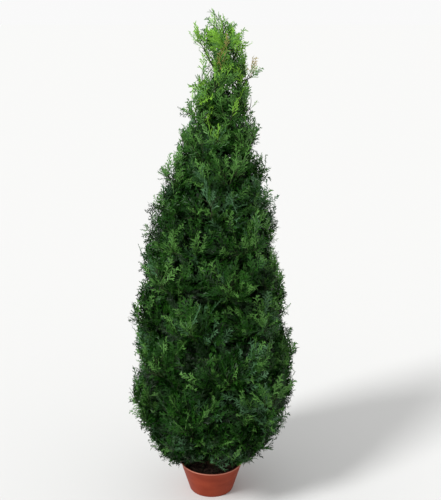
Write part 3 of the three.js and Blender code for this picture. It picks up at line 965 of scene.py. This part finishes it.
# All branches grown on: each zone's node names and wood, and rows of (root, heading, length, puff, zone)
def grow_foliage(rng):
    nodes = {zone: [] for zone in ZONES}
    wood = {zone: [] for zone in ZONES}
    rows = []
    puff = -1
    for name, tier, stem, cell in all_branches():
        zone = zone_of(tier)
        nodes[zone].append(name)
        wood[zone].append(stem_wood(name, stem))
        growths = [(stem, stem, 0.0, INNER_SPACING * thinning(stem[2][2]))]
        for stand, twigs in grow_puffs(rng, stem, cell):
            wood[zone] += [twig_wood(twig) for twig in twigs]
            growths += [(twig, twigs[0], -stand, SPRIG_SPACING * thinning(twig[2][2])) for twig in twigs]
        for twig, first, recess, spacing in growths:
            puff += first is twig
            sprigs = grow_sprigs(rng, twig, cell, first, recess, spacing)
            rows += [(*sprig, puff, zone) for sprig in sprigs]
    return nodes, wood, rows


# The sprigs of one zone and tone, joined into as few pieces as their triangles allow
def make_sprig_pieces(parts, zone, tone, finish, nodes):
    per_piece = MOST_TRIANGLES // max((len(triangles) for _, triangles in parts), default=1)
    for number, start in enumerate(range(0, len(parts), per_piece)):
        points, triangles = joined(parts[start:start + per_piece])
        piece = mesh_object(f"sprigs_{zone}_{tone}_{number + 1}", points, triangles, finish)
        finish_piece(piece, nodes)


def make_sprigs(rng, rows, nodes):
    shapes = np.random.default_rng(SHAPE_SEED)
    outer_kinds = [outer_sprig(shapes) for _ in range(SPRIG_KINDS)]
    inner_kinds = [inner_sprig(shapes) for _ in range(SPRIG_KINDS)]
    roots, headings, sizes, puffs, zones = (np.array(column) for column in zip(*rows))
    tips = roots + headings * sizes[:, None]
    tones = deal_tones(rng, tips, headings, puffs)
    inner = crown_depth(tips) > INNER_DEPTH
    rolls = rng.uniform(0, FULL_TURN, len(rows))
    kind_of = rng.integers(0, SPRIG_KINDS, len(rows))
    for tone, color in TONES.items():
        finish = plain_finish(f"foliage_{tone}", color, *FOLIAGE_GLOSS)
        for zone in ZONES:
            parts = []
            for i in np.flatnonzero((tones == tone) & (zones == zone)):
                kind = (inner_kinds if inner[i] else outer_kinds)[kind_of[i]]
                parts.append(placed(kind, roots[i], headings[i], sizes[i], rolls[i]))
            parts = [part for part in parts if not touches_pot(part[0])]
            make_sprig_pieces(parts, zone, tone, finish, nodes[zone])


def make_twigs(wood, nodes):
    finish = plain_finish("twig_brown", TWIG_COLOR, *TWIG_GLOSS)
    for zone in ZONES:
        piece = mesh_object(f"twigs_{zone}", *joined(wood[zone]), finish)
        finish_piece(piece, nodes[zone])


# All the foliage: sprigs joined by zone and tone, and stems and twigs joined by zone
def make_foliage():
    rng = np.random.default_rng(GROWTH_SEED)
    nodes, wood, rows = grow_foliage(rng)
    make_sprigs(rng, rows, nodes)
    make_twigs(wood, nodes)


# Trunk, pot and fill


# How deep the bark's furrows are at each ring and side, from 0 to -1
def bark_relief(levels, turn):
    rng = np.random.default_rng(BARK_SEED)
    relief = np.zeros((TRUNK_RINGS, TRUNK_SIDES))
    for _ in range(BARK_WAVES):
        around = rng.integers(*BARK_RIDGES)
        climb = rng.uniform(*BARK_CLIMB)
        phase = rng.uniform(0, FULL_TURN)
        pull = rng.uniform(*BARK_DRIFT_PULL)
        drift = BARK_DRIFT * np.sin(levels[:, None] * pull + rng.uniform(0, PHASE_SPREAD))
        relief += np.sin(around * turn[None, :] + climb * levels[:, None] + phase + drift)
    return -np.abs(relief) / np.abs(relief).max()


def make_trunk():
    share = np.linspace(0, 1, TRUNK_RINGS)
    levels = FILL_LEVEL + SEAT_GAP + (TRUNK_TOP - FILL_LEVEL - SEAT_GAP) * share
    turn = round_angles(TRUNK_SIDES)
    radius = trunk_radius(levels)[:, None] * (1 + BARK_DEPTH * bark_relief(levels, turn))
    x = lean(levels)[:, None] + radius * np.cos(turn)
    rings = np.stack([x, radius * np.sin(turn), np.broadcast_to(levels[:, None], x.shape)], axis=-1)
    piece = mesh_object("trunk_bark", *tube(rings), mottled_finish("bark", **BARK_LOOK))
    finish_piece(piece, ["trunk"])


# The pot's outside from the middle of its underside to the foot of the rim
def pot_outside():
    slope = (POT_RIM_RADIUS - POT_LIP - POT_FOOT_RADIUS) / POT_WALL_TOP
    levels = np.linspace(WALL_FIRST_LEVEL, POT_WALL_TOP, POT_WALL_STEPS)
    return [
        (HOLLOW_MIDDLE, FOOT_HOLLOW),
        (POT_FOOT_RADIUS - FOOT_HOLLOW_EDGE, FOOT_HOLLOW),
        (POT_FOOT_RADIUS - FOOT_RING, 0.0),
        (POT_FOOT_RADIUS - FOOT_ROUND, 0.0),
        (POT_FOOT_RADIUS - FOOT_ROUND_SIDE, FOOT_ROUND),
    ] + [(POT_FOOT_RADIUS + slope * level, level) for level in levels]


# The rounded rim, from the outside over the top
def pot_rim():
    return [
        (POT_RIM_RADIUS - POT_LIP + POT_LIP * math.sin(a), POT_HEIGHT - POT_LIP - POT_LIP * math.cos(a))
        for a in np.linspace(RIM_FIRST_ANGLE, math.pi, RIM_STEPS)
    ]


# The pot as a shell and the paler top of its rim, a painted highlight where the rim catches the light
def make_pot():
    rim = pot_rim()
    lining = [
        (POT_RIM_RADIUS - RIM_THICKNESS, POT_HEIGHT - RIM_INNER_DROP),
        (POT_FOOT_RADIUS + LINING_FOOT, LINING_LEVEL),
    ]
    shell = joined([
        turned(pot_outside() + rim[:HIGHLIGHT_FROM + 1], POT_SIDES, closed=False),
        turned(rim[-1:] + lining, POT_SIDES),
    ])
    piece = mesh_object("pot_shell", *shell, mottled_finish("terracotta_plastic", **POT_LOOK))
    piece.data.set_sharp_from_angle(angle=SHARP_ANGLE)
    finish_piece(piece, ["pot"])
    rim_highlight = plain_finish("rim_painted_highlight", RIM_HIGHLIGHT_COLOR, *RIM_GLOSS)
    piece = mesh_object("pot_rim", *turned(rim[HIGHLIGHT_FROM:], POT_SIDES, closed=False), rim_highlight)
    finish_piece(piece, ["pot"])


def fill_level(radius):
    return FILL_LEVEL - FILL_CROWN * (radius / FILL_RADIUS) ** 2


# The fill's uneven top
def fill_top(rng):
    radii = np.linspace(0, FILL_RADIUS, FILL_RINGS)[:, None]
    turn = round_angles(FILL_SIDES)[None, :]
    x = radii * np.cos(turn)
    y = radii * np.sin(turn)
    level = np.repeat(fill_level(radii), FILL_SIDES, axis=1)
    for _ in range(FILL_WAVES):
        pull = rng.uniform(*FILL_WAVE_PULL)
        way = rng.uniform(0, FULL_TURN)
        along = x * math.cos(way) + y * math.sin(way)
        level += FILL_WAVE_STEEPNESS / pull * np.sin(pull * along + rng.uniform(0, PHASE_SPREAD))
    return tube(np.stack([x, y, level], axis=-1)[::-1])


# Loose crumbs on the fill: small lumps with three pairs of opposite corners
def fill_crumbs(rng):
    spread = FILL_RADIUS * np.sqrt(rng.random(CRUMB_COUNT)) * CRUMB_SPREAD
    heading = rng.uniform(0, FULL_TURN, CRUMB_COUNT)
    crumbs = []
    for radius, angle in zip(spread, heading):
        size = rng.uniform(*CRUMB_SIZE)
        level = fill_level(radius) + CRUMB_LIFT * size
        centre = np.array([radius * math.cos(angle), radius * math.sin(angle), level])
        corners = unit(rng.normal(0, 1, (6, 3))) * size * rng.uniform(*CRUMB_SHAPE, (6, 1))
        corners[3:] = -corners[:3]
        crumbs.append((centre + corners, CRUMB_FACES))
    return joined(crumbs)


# The fill's peaty top, with loose crumbs on it
def make_fill():
    rng = np.random.default_rng(FILL_SEED)
    finish = mottled_finish("peat", **PEAT_LOOK)
    piece = mesh_object("fill_top", *fill_top(rng), finish)
    finish_piece(piece, ["potting_fill"])
    piece = mesh_object("fill_crumbs", *fill_crumbs(rng), finish, smooth=False)
    finish_piece(piece, ["potting_fill"])


# Stage


# A wide pale floor under an even white sky
def make_stage():
    reach = FLOOR_REACH
    points = np.array([[-reach, -reach, 0], [reach, -reach, 0], [reach, reach, 0], [-reach, reach, 0]])
    finish = plain_finish("floor", FLOOR_COLOR, *FLOOR_GLOSS)
    mesh_object("floor", points, np.array([[0, 1, 2], [0, 2, 3]]), finish)
    world = bpy.data.worlds.new("studio")
    world.use_nodes = True
    sky = world.node_tree.nodes["Background"]
    sky.inputs["Color"].default_value = (1.0, 1.0, 1.0, 1.0)
    sky.inputs["Strength"].default_value = SKY_STRENGTH
    bpy.context.scene.world = world
    bpy.context.scene.view_settings.view_transform = "Standard"


# A broad soft light from a far place, above and to the left of the viewer
def make_light():
    light = bpy.data.lights.new("key", "SUN")
    light.energy = SUN_STRENGTH
    light.angle = SUN_WIDTH
    lamp = bpy.data.objects.new("key", light)
    lamp.rotation_euler = (SUN_TILT, 0, SUN_TURN)
    bpy.context.scene.collection.objects.link(lamp)


def make_camera():
    camera = bpy.data.cameras.new("camera")
    camera.lens = CAMERA_LENS
    camera.sensor_width = CAMERA_SENSOR
    camera.shift_x = CAMERA_SHIFT
    eye = bpy.data.objects.new("camera", camera)
    eye.location = CAMERA_PLACE
    eye.rotation_euler = (CAMERA_TILT, 0, 0)
    bpy.context.scene.collection.objects.link(eye)
    bpy.context.scene.camera = eye


make_camera()
make_stage()
make_light()
make_foliage()
make_trunk()
make_pot()
make_fill()
